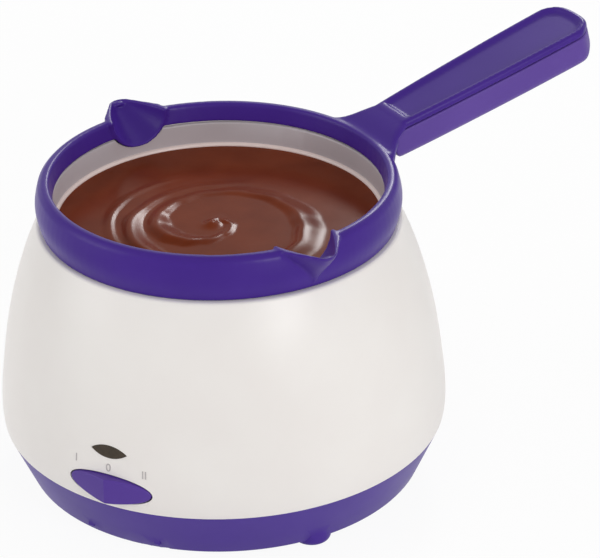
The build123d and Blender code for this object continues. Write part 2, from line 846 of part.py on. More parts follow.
with BuildPart() as lobe_room:
    for angle in spout_angles:
        with BuildSketch(facing_out(lobe_inner - lobe_depth / 3, spout_centre, angle)):
            Ellipse(spout_half_width + 4 / 3 * lobe_flare + lobe_gap, lobe_height + lobe_draw / 3 + lobe_gap)
        with BuildSketch(facing_out(ring_foot_radius, spout_centre, angle)):
            Ellipse(spout_half_width + lobe_gap, lobe_height - lobe_draw + lobe_gap)
        loft()

with BuildPart() as pot_pan:
    with BuildSketch(Plane.XZ) as pan_section:
        with BuildLine():
            Polyline(
                (0, pan_floor_height),
                (pan_bottom_radius, pan_floor_height),
                (pan_step_radius, pan_step_height),
                (pan_bore, pan_step_height),
                (pan_bore, pan_flange_top),
                (pan_flange_radius, pan_flange_top),
                (pan_flange_radius, pan_flange_top - pan_wall),
                (pan_outside, pan_flange_top - pan_wall),
                (pan_outside, pan_step_height - pan_wall),
                (pan_step_radius + pan_wall, pan_step_height - pan_wall),
                (pan_bottom_radius + pan_wall, pan_floor_height - pan_wall),
                (0, pan_floor_height - pan_wall),
                close=True,
            )
        make_face()
        inner_corners = [(pan_bottom_radius, pan_floor_height)]
        outer_corners = [(pan_bottom_radius + pan_wall, pan_floor_height - pan_wall)]
        step_corners = [
            (pan_step_radius, pan_step_height),
            (pan_outside, pan_step_height - pan_wall),
            (pan_bore, pan_flange_top),
        ]
        fillet(corners(pan_section.vertices(), *inner_corners), pan_corner)
        fillet(corners(pan_section.vertices(), *outer_corners), pan_corner + pan_wall)
        fillet(corners(pan_section.vertices(), *step_corners), 0.9 * pan_wall)
    revolve(axis=Axis.Z)
    add(lobe_room.part, mode=Mode.SUBTRACT)
finish(pot_pan, "pot_pan")

with BuildPart() as pan_gasket:
    with BuildSketch(Plane.XY.offset(pan_flange_top)):
        Circle(pan_flange_radius - gasket_setback)
        Circle(pan_outside, mode=Mode.SUBTRACT)
    extrude(amount=gasket_thickness)
    add(lobe_room.part, mode=Mode.SUBTRACT)
finish(pan_gasket, "pan_gasket")

with BuildPart() as pan_retaining_clips:
    with BuildSketch(Plane.XZ):
        with BuildLine():
            Polyline(
                (pan_outside + clip_wall_gap, clip_bottom),
                (ring_cavity_radius - clip_gap, clip_bottom),
                (ring_cavity_radius - clip_gap, clip_bottom + clip_bead_rise),
                (ring_cavity_radius + clip_bead, clip_bottom + clip_bead_rise + clip_bead),
                (ring_cavity_radius + clip_bead, clip_bottom + clip_bead_rise + clip_bead_height),
                (ring_cavity_radius - clip_gap, clip_bottom + clip_bead_rise + clip_bead_height),
                (ring_cavity_radius - clip_gap, pan_flange_top - pan_wall),
                (pan_outside + clip_wall_gap, pan_flange_top - pan_wall),
                close=True,
            )
        make_face()
    revolve(axis=Axis.Z)
    with BuildSketch(turned(Plane.XY.offset(rim_height), handle_angle)):
        Rectangle(2 * (spout_half_width + clip_end_gap), 3 * ring_bulge_radius)
    extrude(amount=ring_height, mode=Mode.SUBTRACT)
finish(pan_retaining_clips, "pan_retaining_clips")

with BuildPart() as melted_chocolate:
    with BuildSketch(Plane.XZ) as chocolate_section:
        with BuildLine():
            Polyline(
                (0, pan_floor_height + chocolate_gap),
                (pan_bottom_radius - chocolate_gap, pan_floor_height + chocolate_gap),
                (pan_step_radius - chocolate_gap, pan_step_height + chocolate_gap),
                (pan_bore - chocolate_gap, pan_step_height + chocolate_gap),
                (pan_bore - chocolate_gap, chocolate_level),
                (0, chocolate_level),
                close=True,
            )
        make_face()
        bottom_corner = (pan_bottom_radius - chocolate_gap, pan_floor_height + chocolate_gap)
        fillet(corners(chocolate_section.vertices(), bottom_corner), pan_corner)
    revolve(axis=Axis.Z)
finish(melted_chocolate, "melted_chocolate")

# Ring: the pot's plastic rim with two spouts, the root of the handle and its top
with BuildPart() as ring_core:
    with BuildSketch(Plane.XY.offset(ring_ceiling)):
        Circle(ring_cavity_radius)
    extrude(amount=-2 * ring_height)
    with BuildSketch(Plane.XY.offset(ring_ceiling)):
        Circle(ring_crest_inner)
    extrude(amount=ring_height)

with BuildPart() as spout_beaks:
    for angle in spout_angles:
        for height, reach, half_width, tip_round in beak_sections:
            beak_tip = (ring_foot_radius + reach + tip_round / 2, 0)
            with BuildSketch(turned(Plane.XY.offset(height), angle)) as beak_plan:
                with BuildLine():
                    Polyline(
                        (ring_cavity_radius, -half_width),
                        (ring_foot_radius, -half_width),
                        beak_tip,
                        (ring_foot_radius, half_width),
                        (ring_cavity_radius, half_width),
                        close=True,
                    )
                make_face()
                fillet(corners(beak_plan.vertices(), beak_tip), tip_round)
        loft()
    add(ring_core.part, mode=Mode.SUBTRACT)

with BuildPart() as handle_flare:
    for reach, half_width, flare_top in flare_sections:
        with BuildSketch(facing_out(reach, flare_top - flare_depth / 2, handle_angle)):
            RectangleRounded(2 * half_width, flare_depth, flare_round)
    loft()
    add(ring_core.part, mode=Mode.SUBTRACT)

handle_outer = handle_outline(0, handle_root)
cap_edge = handle_outline(0, handle_cap_start)
handle_inner = handle_outline(handle_wall, handle_root + handle_wall)
cap_top = handle_outline(handle_edge, handle_cap_start)
dish_mouth = handle_outline(dish_margin, dish_start)
dish_floor = handle_outline(dish_margin + dish_slope, dish_start + dish_slope)
with BuildPart() as rim_ring:
    with BuildSketch(Plane.XZ) as ring_section:
        with BuildLine():
            Polyline(
                (ring_foot_radius, rim_height),
                (ring_cavity_radius, rim_height),
                (ring_cavity_radius, clip_groove_low),
                (ring_cavity_radius + clip_bead + clip_gap, clip_groove_low + clip_bead),
                (ring_cavity_radius + clip_bead + clip_gap, clip_groove_high),
                (ring_cavity_radius, clip_groove_high),
                (ring_cavity_radius, ring_ceiling),
                (ring_skirt_radius, ring_ceiling),
                (ring_crest_inner, ring_crest_height),
                (ring_crest_outer, ring_crest_height),
                (ring_shoulder_radius, ring_shoulder_height),
            )
            Spline(
                (ring_shoulder_radius, ring_shoulder_height),
                (ring_bulge_radius, ring_bulge_height),
                (ring_foot_radius, rim_height),
                tangents=[(0.25, -1), (-0.32, -1)],
            )
        make_face()
        crest_corners = [(ring_crest_inner, ring_crest_height), (ring_crest_outer, ring_crest_height)]
        shoulder_corner = (ring_shoulder_radius, ring_shoulder_height)
        fillet(corners(ring_section.vertices(), *crest_corners), ring_crest_round)
        fillet(corners(ring_section.vertices(), shoulder_corner), ring_shoulder_round)
    revolve(axis=Axis.Z)
    add(spout_beaks.part)
    add(spout_lobe.part)
    add(handle_flare.part)
    with BuildSketch(handle_plane.offset(-handle_edge)):
        add(cap_edge)
    extrude(amount=handle_edge - handle_cap)
    with BuildSketch(handle_plane.offset(-handle_edge)):
        add(cap_edge)
    with BuildSketch(handle_plane):
        add(cap_top)
    loft()
    with BuildSketch(handle_plane.offset(-handle_cap)):
        with Locations(*[(place, 0) for place in handle_screw_places]):
            Circle(handle_boss)
    extrude(amount=-handle_boss_depth)
    with BuildSketch(handle_plane.offset(-handle_cap)):
        with Locations((handle_root + handle_web / 2, 0)):
            Rectangle(handle_web, 2 * handle_web)
        with Locations((handle_screw_places[0], 0)):
            Circle(handle_boss, mode=Mode.SUBTRACT)
    extrude(amount=-handle_thickness, mode=Mode.SUBTRACT)
    with BuildSketch(handle_plane.offset(-handle_cap - handle_boss_depth)):
        with Locations(*[(place, 0) for place in handle_screw_places]):
            Circle(handle_screw_shank + pilot_gap)
    extrude(amount=handle_boss_depth + handle_cap / 4, mode=Mode.SUBTRACT)
    with BuildSketch(handle_plane):
        add(dish_mouth)
    with BuildSketch(handle_plane.offset(-dish_depth)):
        add(dish_floor)
    loft(mode=Mode.SUBTRACT)
    for angle in spout_angles:
        for reach, half_width, depth in channel_sections:
            with BuildSketch(facing_out(reach, spout_centre, angle)):
                Ellipse(half_width, depth)
        loft(mode=Mode.SUBTRACT)
finish(rim_ring, "rim_ring")

# Underside of the handle: a hollow shell screwed up against the top
with BuildPart() as handle_underside:
    with BuildSketch(handle_plane.offset(-handle_cap - handle_groove)):
        add(handle_outer)
    extrude(amount=-(handle_thickness - handle_cap - handle_groove))
    under_face = handle_underside.faces().sort_by(Axis(handle_plane.origin, handle_plane.z_dir))[0]
    fillet(under_face.outer_wire().edges(), handle_under_round)
    with BuildSketch(handle_plane.offset(-handle_cap - handle_groove)):
        add(handle_inner)
    extrude(amount=-(handle_thickness - handle_cap - handle_groove - handle_wall), mode=Mode.SUBTRACT)
    with BuildSketch(handle_plane.offset(-handle_thickness + handle_wall / 2)):
        with Locations(*[(place, 0) for place in handle_screw_places]):
            Circle(handle_boss + shank_gap)
    extrude(amount=handle_thickness - handle_wall / 2 - handle_cap - handle_boss_depth - handle_boss_gap)
    with BuildSketch(handle_plane.offset(-handle_thickness)):
        with Locations(*[(place, 0) for place in handle_screw_places]):
            Circle(handle_screw_head + handle_screw_gap)
    extrude(amount=handle_wall + handle_screw_seat, mode=Mode.SUBTRACT)
    with BuildSketch(handle_plane.offset(-handle_thickness)):
        with Locations(*[(place, 0) for place in handle_screw_places]):
            Circle(handle_screw_shank + handle_screw_gap)
    extrude(amount=handle_thickness, mode=Mode.SUBTRACT)
finish(handle_underside, "handle_underside")

handle_screw_under = handle_wall + handle_screw_seat - handle_thickness
with BuildPart() as handle_screws:
    with BuildSketch(handle_plane.offset(handle_screw_under)):
        with Locations(*[(place, 0) for place in handle_screw_places]):
            Circle(handle_screw_shank)
    extrude(amount=-handle_screw_under - handle_cap - handle_screw_end_gap)
    with BuildSketch(handle_plane.offset(handle_screw_under)):
        with Locations(*[(place, 0) for place in handle_screw_places]):
            Circle(handle_screw_head)
    extrude(amount=-handle_screw_head_height)
finish(handle_screws, "handle_screws")

# Case screws, from below through the bosses into the pillars
with BuildPart() as base_screws:
    with BuildSketch(Plane.XY.offset(foot_height + counterbore_depth)):
        with PolarLocations(pillar_ring_radius, pillar_count, start_angle=pillar_angle):
            Circle(screw_shank)
    extrude(amount=pillar_foot + screw_grip - foot_height - counterbore_depth)
    with BuildSketch(Plane.XY.offset(foot_height + counterbore_depth)):
        with PolarLocations(pillar_ring_radius, pillar_count, start_angle=pillar_angle):
            Circle(screw_head)
    extrude(amount=-screw_head_height)
    chamfer(base_screws.edges().filter_by(GeomType.CIRCLE).group_by(Axis.Z)[0], screw_head_chamfer)
finish(base_screws, "base_screws")

# Rocker switch: a two-sided rocker on two pins in an open-fronted body
with BuildPart() as switch_rocker:
    with BuildSketch(Plane.XY.offset(switch_height - rocker_half_height)):
        with BuildLine():
            Polyline(
                (-rocker_half_width, -rocker_end_depth),
                (0, -rocker_ridge_depth),
                (rocker_half_width, -rocker_end_depth),
                (rocker_half_width, -rocker_end_depth + rocker_thickness),
                (rocker_hub, -pivot_place + rocker_hub),
                (-rocker_hub, -pivot_place + rocker_hub),
                (-rocker_half_width, -rocker_end_depth + rocker_thickness),
                close=True,
            )
        make_face()
    extrude(amount=2 * rocker_half_height)
    with BuildSketch(Plane.XZ.offset(pivot_place - window_depth)):
        with Locations((0, switch_height)):
            Ellipse(rocker_half_width, rocker_half_height)
    extrude(amount=3 * window_depth, mode=Mode.INTERSECT)
    front_faces = switch_rocker.faces().filter_by(GeomType.PLANE).sort_by(Axis.Y)[:2]
    fillet([edge for face in front_faces for edge in face.edges()], rocker_round)
    with BuildSketch(Plane.XY.offset(switch_height - rocker_half_height - pivot_length)):
        with Locations((0, -pivot_place)):
            Circle(pivot_radius)
    extrude(amount=2 * (rocker_half_height + pivot_length))
finish(switch_rocker, "switch_rocker")

with BuildPart() as switch_body:
    with BuildSketch(Plane.XY.offset(switch_height - switch_half_height)):
        Circle(switch_face_radius)
        with Locations((0, -switch_face_radius + switch_depth / 2)):
            Rectangle(2 * switch_half_width, switch_depth, mode=Mode.INTERSECT)
    extrude(amount=2 * switch_half_height)
    with BuildSketch(Plane.XY.offset(switch_height - rocker_half_height - switch_cheek_gap)):
        with Locations((0, -switch_face_radius)):
            Rectangle(2 * (rocker_half_width + switch_side_gap), 2 * switch_cavity_depth)
    extrude(amount=2 * (rocker_half_height + switch_cheek_gap), mode=Mode.SUBTRACT)
    with BuildSketch(Plane.XY.offset(switch_height - switch_half_height)):
        with Locations((0, -pivot_place)):
            Circle(pivot_radius + pivot_gap)
    extrude(amount=2 * switch_half_height, mode=Mode.SUBTRACT)
finish(switch_body, "switch_body")

switch_back = -switch_face_radius + switch_depth
with BuildPart() as switch_terminals:
    with BuildSketch(Plane.XZ.offset(-switch_back)):
        with Locations(*[(place * terminal_pitch, switch_height) for place in (-1, 0, 1)]):
            Rectangle(terminal_width, terminal_thickness)
    extrude(amount=-terminal_length)
    with BuildSketch(Plane.XY.offset(switch_height - terminal_thickness)):
        with Locations(*[(place * terminal_pitch, switch_back + terminal_eye_place) for place in (-1, 0, 1)]):
            Circle(terminal_eye)
    extrude(amount=2 * terminal_thickness, mode=Mode.SUBTRACT)
finish(switch_terminals, "switch_terminals")

# Indicator: lens in the housing, lamp and its holder on the switch body
with BuildPart() as indicator_lens:
    with BuildSketch(Plane.XZ.offset(lens_back)):
        with Locations((0, lens_height + lens_arc - lens_width / 2)):
            Circle(lens_arc - lens_gap)
        with Locations((0, lens_height - lens_arc + lens_width / 2)):
            Circle(lens_arc - lens_gap, mode=Mode.INTERSECT)
    extrude(amount=2 * window_depth)
    with BuildSketch(Plane.XZ.offset(lens_back - lens_flange_thickness)):
        with Locations((0, lens_height)):
            SlotOverall(lens_length + 2 * lens_flange, lens_width + 2 * lens_flange)
    extrude(amount=lens_flange_thickness)
    with BuildSketch(Plane.XZ):
        with BuildLine():
            Polyline(
                (lens_back / 2, lens_height - lens_length),
                (lens_face + lens_length * lens_lean, lens_height - lens_length),
                (lens_face - lens_length * lens_lean, lens_height + lens_length),
                (lens_back / 2, lens_height + lens_length),
                close=True,
            )
        make_face()
    revolve(axis=Axis.Z, mode=Mode.INTERSECT)
finish(indicator_lens, "indicator_lens")

lamp_place = lens_back - lens_flange_thickness - lamp_setback
holder_half_length = lamp_length / 2 + lamp_holder_gap + lamp_holder_wall
holder_top = lens_height + lamp_holder_rise
with BuildPart() as indicator_lamp:
    with BuildSketch(Plane.YZ.offset(-lamp_length / 2)):
        with Locations((-lamp_place, lens_height)):
            Circle(lamp_radius)
    extrude(amount=lamp_length)
    fillet(indicator_lamp.edges().filter_by(GeomType.CIRCLE), lamp_round)
    with BuildSketch(Plane.YZ.offset(-holder_half_length - lamp_lead_end)):
        with Locations((-lamp_place, lens_height)):
            Circle(lamp_lead)
    extrude(amount=2 * (holder_half_length + lamp_lead_end))
finish(indicator_lamp, "indicator_lamp")

holder_foot = switch_height + switch_half_height
with BuildPart() as lamp_holder:
    with BuildSketch(Plane.XZ.offset(lamp_place - lamp_holder_width / 2)):
        with BuildLine():
            Polyline(
                (-holder_half_length, holder_top),
                (-holder_half_length, holder_foot),
                (holder_half_length, holder_foot),
                (holder_half_length, holder_top),
                (holder_half_length - lamp_holder_wall, holder_top),
                (holder_half_length - lamp_holder_wall, holder_foot + lamp_holder_wall),
                (-holder_half_length + lamp_holder_wall, holder_foot + lamp_holder_wall),
                (-holder_half_length + lamp_holder_wall, holder_top),
                close=True,
            )
        make_face()
    extrude(amount=lamp_holder_width)
    fillet(lamp_holder.edges().filter_by(Axis.X).group_by(Axis.Z)[-1], lamp_holder_round)
    with BuildSketch(Plane.YZ.offset(-holder_half_length)):
        with Locations((-lamp_place, lens_height)):
            Circle(lamp_lead + pilot_gap)
    extrude(amount=2 * holder_half_length, mode=Mode.SUBTRACT)
finish(lamp_holder, "lamp_holder")

# Terminal block behind the lead's bush
with BuildPart() as terminal_block:
    with BuildSketch(Plane.XY.offset(floor_top)):
        with Locations((0, block_place)):
            Rectangle(block_length, block_width)
    extrude(amount=block_height)
    fillet(terminal_block.edges().filter_by(Axis.Z), block_round)
    with BuildSketch(Plane.XZ.offset(-block_place - block_width)):
        with Locations(*[(place * block_length / 4, floor_top + 0.4 * block_height) for place in (-1, 1)]):
            Circle(block_wire_hole)
    extrude(amount=2 * block_width, mode=Mode.SUBTRACT)
    with BuildSketch(Plane.XY.offset(floor_top + block_height)):
        with Locations(*block_screw_spots):
            Circle(block_screw + shank_gap)
    extrude(amount=-block_screw_well, mode=Mode.SUBTRACT)
    with BuildSketch(Plane.XY.offset(floor_top + block_height)):
        with Locations(*block_screw_spots):
            Circle(block_screw_shank + pilot_gap)
    extrude(amount=-block_height / 2, mode=Mode.SUBTRACT)
finish(terminal_block, "terminal_block")

block_screw_foot = floor_top + block_height - block_screw_sink - block_screw_head_height
with BuildPart() as terminal_screws:
    with BuildSketch(Plane.XY.offset(block_screw_foot)):
        with Locations(*block_screw_spots):
            Circle(block_screw)
    extrude(amount=block_screw_head_height)
    with BuildSketch(Plane.XY.offset(block_screw_foot + 2 / 3 * block_screw_head_height)):
        with Locations(*block_screw_spots):
            Rectangle(1.8 * block_screw, block_screw_slot)
    extrude(amount=block_screw_head_height, mode=Mode.SUBTRACT)
    with BuildSketch(Plane.XY.offset(block_screw_foot)):
        with Locations(*block_screw_spots):
            Circle(block_screw_shank)
    extrude(amount=-block_screw_shank_length)
finish(terminal_screws, "terminal_screws")

# Inner leads: from the terminal block to the switch and the heater, and from the switch to the lamp
tab_top = switch_height + terminal_thickness / 2
tab_under = switch_height - terminal_thickness / 2
lead_place = switch_back + terminal_length - 1.5 * lead_radius
lamp_lead_place = lead_place - 3 * lead_radius
wire_height = floor_top + 0.4 * block_height + lead_radius / 2
wire_start = block_place - block_screw_spread
spade_height = clamp_under - thermostat_height + 1.5 * spade_thickness
spade_reach = thermostat_radius + spade_length / 2
tag_reach = element_radius + element_tag_reach + element_tag_length / 3
tag_x = tag_reach * sin(radians(element_tag_angle))
tag_y = -tag_reach * cos(radians(element_tag_angle))
tag_under = element_under + spade_thickness
fuse_lead_end = fuse_length / 2 + fuse_lead_length
lamp_lead_reach = holder_half_length + lamp_lead_end
supply_routes = [
    [
        (block_length / 4, wire_start, wire_height),
        (block_length / 4, wire_start - 16, wire_height),
        (16, 8, wire_height),
        (16, -32, wire_height),
        (terminal_pitch, lead_place, wire_height),
        (terminal_pitch, lead_place, tab_under),
    ],
    [
        (-block_length / 4, wire_start, wire_height),
        (-block_length / 4, wire_start - 16, wire_height),
        (-30, 30, wire_height),
        (-shield_radius - 9, 6, wire_height),
        (-shield_radius - 7, 0, spade_height),
        (-thermostat_place - spade_reach, 0, spade_height),
    ],
]
element_routes = [
    [
        (-terminal_pitch, lead_place, tab_top),
        (-terminal_pitch, lead_place, tab_top + 6),
        (-tag_x, tag_y, tag_under - 5),
        (-tag_x, tag_y, tag_under),
    ],
    [
        (tag_x, tag_y, tag_under),
        (tag_x, tag_y, fuse_height),
        (fuse_place, -30, fuse_height),
        (fuse_place, -fuse_lead_end, fuse_height),
    ],
    [
        (fuse_place, fuse_lead_end, fuse_height),
        (fuse_place, fuse_lead_end + 14, fuse_height),
        (6, 26, spade_height),
        (-7.5, 16, spade_height),
        (-7.5, 0, spade_height),
        (spade_reach - thermostat_place, 0, spade_height),
    ],
]
lamp_routes = [
    [
        (-lamp_lead_reach, -lamp_place, lens_height),
        (-lamp_lead_reach - 7.5, -lamp_place, lens_height),
        (-terminal_pitch, lamp_lead_place, tab_top + 10),
        (-terminal_pitch, lamp_lead_place, tab_top),
    ],
    [
        (lamp_lead_reach, -lamp_place, lens_height),
        (lamp_lead_reach + 7.5, -lamp_place, lens_height),
        (10, lamp_lead_place, tab_top + 11),
        (0, lamp_lead_place, tab_top + 9),
        (0, lamp_lead_place, tab_top),
    ],
]
with BuildPart() as supply_leads:
    for route in supply_routes:
        with BuildLine() as path:
            FilletPolyline(*route, radius=bends(route))
        with BuildSketch(path.line ^ 0):
            Circle(lead_radius)
        sweep()
finish(supply_leads, "supply_leads")

with BuildPart() as element_leads:
    for route in element_routes:
        with BuildLine() as path:
            FilletPolyline(*route, radius=bends(route))
        with BuildSketch(path.line ^ 0):
            Circle(lead_radius)
        sweep()
finish(element_leads, "element_leads")

with BuildPart() as lamp_leads:
    for route in lamp_routes:
        with BuildLine() as path:
            FilletPolyline(*route, radius=bends(route))
        with BuildSketch(path.line ^ 0):
            Circle(lead_radius)
        sweep()
finish(lamp_leads, "lamp_leads")
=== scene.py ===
import bpy
import math
from mathutils import Matrix, Vector


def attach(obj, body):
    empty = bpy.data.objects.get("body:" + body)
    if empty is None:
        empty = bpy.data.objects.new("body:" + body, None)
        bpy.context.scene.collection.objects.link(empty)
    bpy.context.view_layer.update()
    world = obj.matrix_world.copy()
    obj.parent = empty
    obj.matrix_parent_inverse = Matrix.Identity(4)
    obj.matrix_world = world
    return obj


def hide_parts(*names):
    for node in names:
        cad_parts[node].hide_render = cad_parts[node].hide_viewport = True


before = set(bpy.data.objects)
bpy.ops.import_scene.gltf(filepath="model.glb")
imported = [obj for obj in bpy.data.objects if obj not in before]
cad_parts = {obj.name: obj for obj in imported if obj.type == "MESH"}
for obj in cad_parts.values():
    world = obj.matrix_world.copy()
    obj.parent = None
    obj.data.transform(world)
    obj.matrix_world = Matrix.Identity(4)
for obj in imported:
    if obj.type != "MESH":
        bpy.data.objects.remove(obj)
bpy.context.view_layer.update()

mm = 0.001
white = (1, 1, 1, 1)


def say(text):
    print("stage:", text)


def deselectAll():
    if bpy.context.object and bpy.context.object.mode != "OBJECT":
        bpy.ops.object.mode_set(mode="OBJECT")
    bpy.ops.object.select_all(action="DESELECT")


def makeActive(obj):
    deselectAll()
    obj.select_set(True)
    bpy.context.view_layer.objects.active = obj


def linearTone(tone):  # screen values from 0 to 255, made linear
    parts = [value / 255 for value in tone]
    return [part / 12.92 if part <= 0.04045 else ((part + 0.055) / 1.055) ** 2.4 for part in parts] + [1]


# Materials. Every pattern is on Object coordinates, in metres.
pattern = {"toneStops": (0.3, 0.7), "roughScale": 90, "cloudDetail": 3, "grainDetail": 2}
bumpStrength = {"plastic": 0.6, "metal": 0.5}


def startMaterial(name):
    mat = bpy.data.materials.new(name)
    mat.use_nodes = True
    tree = mat.node_tree
    coord = tree.nodes.new("ShaderNodeTexCoord")
    return mat, tree, tree.nodes["Principled BSDF"], coord.outputs["Object"]


def addNoise(tree, place, scale, detail, stretch=(1, 1, 1)):
    mapping = tree.nodes.new("ShaderNodeMapping")
    mapping.inputs["Scale"].default_value = stretch
    noise = tree.nodes.new("ShaderNodeTexNoise")
    noise.inputs["Scale"].default_value = scale
    noise.inputs["Detail"].default_value = detail
    tree.links.new(place, mapping.inputs["Vector"])
    tree.links.new(mapping.outputs["Vector"], noise.inputs["Vector"])
    return noise.outputs["Fac"]


def varyTone(tree, shader, value, tones):
    ramp = tree.nodes.new("ShaderNodeValToRGB")
    for stop, place, tone in zip(ramp.color_ramp.elements, pattern["toneStops"], tones):
        stop.position = place
        stop.color = linearTone(tone)
    tree.links.new(value, ramp.inputs["Fac"])
    tree.links.new(ramp.outputs["Color"], shader.inputs["Base Color"])


def varyRoughness(tree, shader, value, rough):
    span = tree.nodes.new("ShaderNodeMapRange")
    span.inputs["To Min"].default_value = rough[0]
    span.inputs["To Max"].default_value = rough[1]
    tree.links.new(value, span.inputs["Value"])
    tree.links.new(span.outputs["Result"], shader.inputs["Roughness"])


def addBump(tree, shader, value, depth, strength):
    bump = tree.nodes.new("ShaderNodeBump")
    bump.inputs["Strength"].default_value = strength
    bump.inputs["Distance"].default_value = depth * mm
    tree.links.new(value, bump.inputs["Height"])
    tree.links.new(bump.outputs["Normal"], shader.inputs["Normal"])


def makeMoulded(name, tones, rough, grain, depth=0.01, gloss=0.5, cloud=30):
    mat, tree, shader, place = startMaterial(name)
    detail = pattern["cloudDetail"]
    varyTone(tree, shader, addNoise(tree, place, cloud, detail), tones)
    varyRoughness(tree, shader, addNoise(tree, place, pattern["roughScale"], detail), rough)
    grains = addNoise(tree, place, grain, pattern["grainDetail"])
    addBump(tree, shader, grains, depth, bumpStrength["plastic"])
    shader.inputs["Specular IOR Level"].default_value = gloss
    return mat


def makeMetal(name, tones, rough, stretch, grain=300, depth=0.02):
    mat, tree, shader, place = startMaterial(name)
    shader.inputs["Metallic"].default_value = 1
    streak = addNoise(tree, place, grain, pattern["grainDetail"], stretch)
    varyTone(tree, shader, streak, tones)
    varyRoughness(tree, shader, streak, rough)
    addBump(tree, shader, streak, depth, bumpStrength["metal"])
    return mat


# Tones are screen values, grain and cloud are patches to a metre, and depth is in mm.
plastics = {
    "purpleGloss": {
        "tones": [(63, 34, 130), (68, 38, 137)], "rough": (0.3, 0.38), "grain": 2600, "gloss": 0.15},
    "purpleSatin": {
        "tones": [(66, 37, 136), (72, 43, 144)], "rough": (0.36, 0.46), "grain": 2600, "gloss": 0.25},
    "purpleRocker": {
        "tones": [(78, 50, 141), (84, 56, 147)], "rough": (0.36, 0.46), "grain": 2600, "gloss": 0.25},
    # painted sheen: a lighter copy of the purple for the handle underside, standing in for the light on
    # its side
    "purpleHandlePaintedSheen": {
        "tones": [(88, 61, 146), (94, 67, 152)], "rough": (0.4, 0.5), "grain": 2600, "gloss": 0.25},
    "shellWhite": {
        "tones": [(238, 234, 230), (235, 230, 226)], "rough": (0.34, 0.42), "grain": 2400, "gloss": 0.4},
    "chocolateGloss": {
        "tones": [(110, 45, 20), (123, 54, 27)], "rough": (0.19, 0.25), "grain": 160, "depth": 0.03,
        "gloss": 0.05, "cloud": 60},
    "panCoating": {
        "tones": [(180, 172, 175), (188, 180, 183)], "rough": (0.34, 0.46), "grain": 1800, "depth": 0.02,
        "gloss": 0.4},
    # painted highlight: the pan bead's pale cream stands in for the bright line on the pan's wall at the
    # chocolate's edge
    "beadPaintedHighlight": {"tones": [(236, 218, 212), (228, 209, 203)], "rough": (0.25, 0.35), "grain": 1200},
    "darkPhenolic": {
        "tones": [(30, 28, 28), (38, 35, 34)], "rough": (0.45, 0.6), "grain": 1800, "depth": 0.03},
    "blockNylon": {
        "tones": [(216, 212, 202), (224, 221, 212)], "rough": (0.4, 0.5), "grain": 1800, "depth": 0.02},
    "micaBoard": {
        "tones": [(140, 122, 96), (166, 148, 120)], "rough": (0.4, 0.6), "grain": 700, "depth": 0.04},
    "softSilicone": {"tones": [(206, 202, 196), (214, 210, 205)], "rough": (0.5, 0.6), "grain": 1500},
    "footRubber": {
        "tones": [(40, 38, 42), (48, 46, 50)], "rough": (0.65, 0.8), "grain": 1500, "depth": 0.03},
    "bushRubber": {
        "tones": [(24, 23, 26), (32, 30, 33)], "rough": (0.5, 0.65), "grain": 1500, "depth": 0.02},
    "lensAmber": {
        "tones": [(52, 42, 30), (66, 54, 40)], "rough": (0.14, 0.22), "grain": 900, "gloss": 0.3,
        "cloud": 300},
    "printGrey": {"tones": [(176, 170, 170), (184, 178, 178)], "rough": (0.4, 0.5), "grain": 1500},
    "glassFibre": {
        "tones": [(206, 204, 198), (220, 218, 212)], "rough": (0.6, 0.75), "grain": 1500, "depth": 0.05},
    "lampGlow": {"tones": [(220, 176, 140), (228, 190, 156)], "rough": (0.08, 0.14), "grain": 900},
}
metals = {
    "spunMetal": {
        "tones": [(190, 190, 192), (214, 213, 212)], "rough": (0.25, 0.4), "stretch": (1, 1, 30)},
    "zincPlate": {
        "tones": [(150, 150, 148), (186, 184, 178)], "rough": (0.28, 0.45), "stretch": (1, 1, 1),
        "grain": 120},
    "brassBright": {
        "tones": [(196, 160, 84), (214, 180, 104)], "rough": (0.25, 0.4), "stretch": (1, 1, 8)},
}
say("materials")
finishes = {name: makeMoulded(name, **look) for name, look in plastics.items()}
finishes.update({name: makeMetal(name, **look) for name, look in metals.items()})

cadFinishes = {
    "shellWhite": ["housing_shell"],
    "purpleSatin": ["base_cover", "pan_retaining_clips"],
    "purpleGloss": ["rim_ring", "handle_underside", "switch_rocker"],
    "panCoating": ["pot_pan"],
    "chocolateGloss": ["melted_chocolate"],
    "spunMetal": ["heat_well", "thermal_fuse"],
    "zincPlate": [
        "centre_stud", "stud_nuts", "element_clamp_plate", "clamp_screws", "fuse_clip",
        "heat_shield", "support_bracket", "base_screws", "handle_screws",
    ],
    "brassBright": ["switch_terminals", "terminal_screws"],
    "darkPhenolic": ["thermostat", "switch_body", "lamp_holder"],
    "blockNylon": ["terminal_block"],
    "micaBoard": ["heating_element"],
    "softSilicone": ["well_seal", "pan_gasket"],
    "footRubber": ["foot_pads"],
    "bushRubber": ["cord_bush"],
    "lensAmber": ["indicator_lens"],
    "lampGlow": ["indicator_lamp"],
    "glassFibre": ["lamp_leads", "supply_leads", "element_leads"],
}
for finish, names in cadFinishes.items():
    for name in names:
        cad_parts[name].data.materials.clear()
        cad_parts[name].data.materials.append(finishes[finish])


# Smooth skins of the visible CAD nodes: a merged copy, shaded smooth up to an angle.
skins = {"mergeGap": 0.002, "smooth": 34}


def mergedCopy(node, name):
    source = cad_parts[node]
    skin = source.copy()
    skin.data = source.data.copy()
    skin.name = skin.data.name = name
    bpy.context.scene.collection.objects.link(skin)
    makeActive(skin)
    bpy.ops.object.mode_set(mode="EDIT")
    bpy.ops.mesh.select_all(action="SELECT")
    bpy.ops.mesh.remove_doubles(threshold=skins["mergeGap"] * mm)
    bpy.ops.object.mode_set(mode="OBJECT")
    bpy.ops.mesh.customdata_custom_splitnormals_clear()
    return skin


def dress(skin, finish, body, slotName, *nodes):
    skin.data.materials.clear()
    skin.data.materials.append(finishes[finish])
    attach(skin, body)
    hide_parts(*nodes)


def smoothSkin(node, name, finish, body, slotName):
    skin = mergedCopy(node, name)
    bpy.ops.object.shade_smooth_by_angle(angle=math.radians(skins["smooth"]))
    dress(skin, finish, body, slotName, node)


